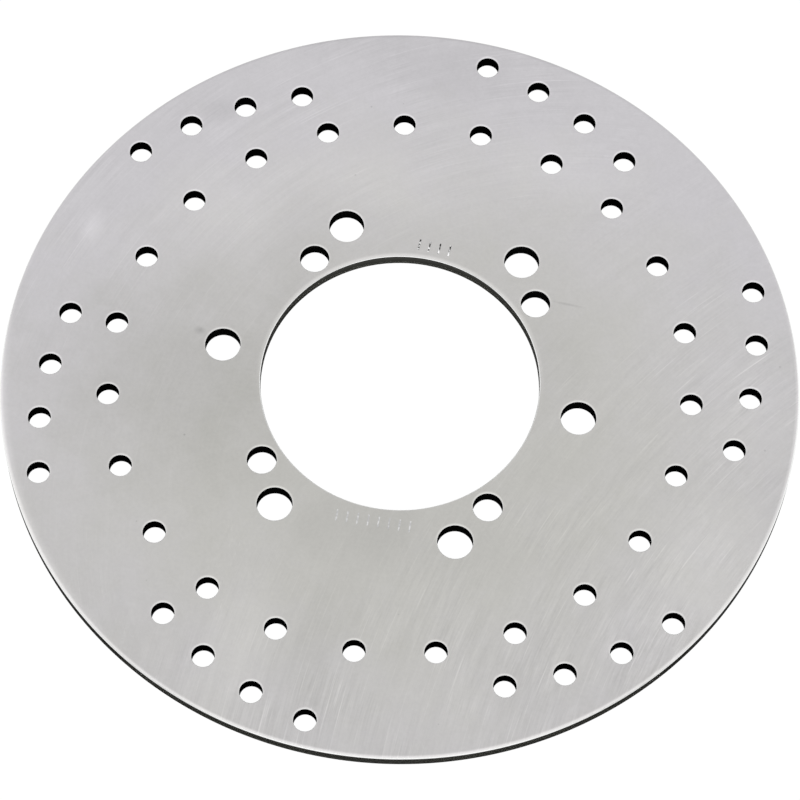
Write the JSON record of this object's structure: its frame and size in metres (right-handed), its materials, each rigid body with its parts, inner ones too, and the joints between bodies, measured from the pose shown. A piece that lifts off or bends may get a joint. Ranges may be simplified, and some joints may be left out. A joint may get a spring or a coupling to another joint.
{
  "type": "brake disc rotor",
  "caption": "Flat one-piece drilled brake disc with a round hub bore, bolt circles and swept rows of round vent holes.",
  "frame": {"origin": "centre of the hub bore on the hub-side face", "axes": "+Z along the disc's axis towards the outer face, +X through the large bolt hole that the vent ring and a swept row start beside"},
  "size_m": [0.23, 0.23, 0.0045],
  "materials": {
    "ground_stainless": "rotary ground stainless steel, satin, with fine arced grinding lines"
  },
  "bodies": {
    "root": {"brake_disc": "ground_stainless"}
  },
  "joints": []
}
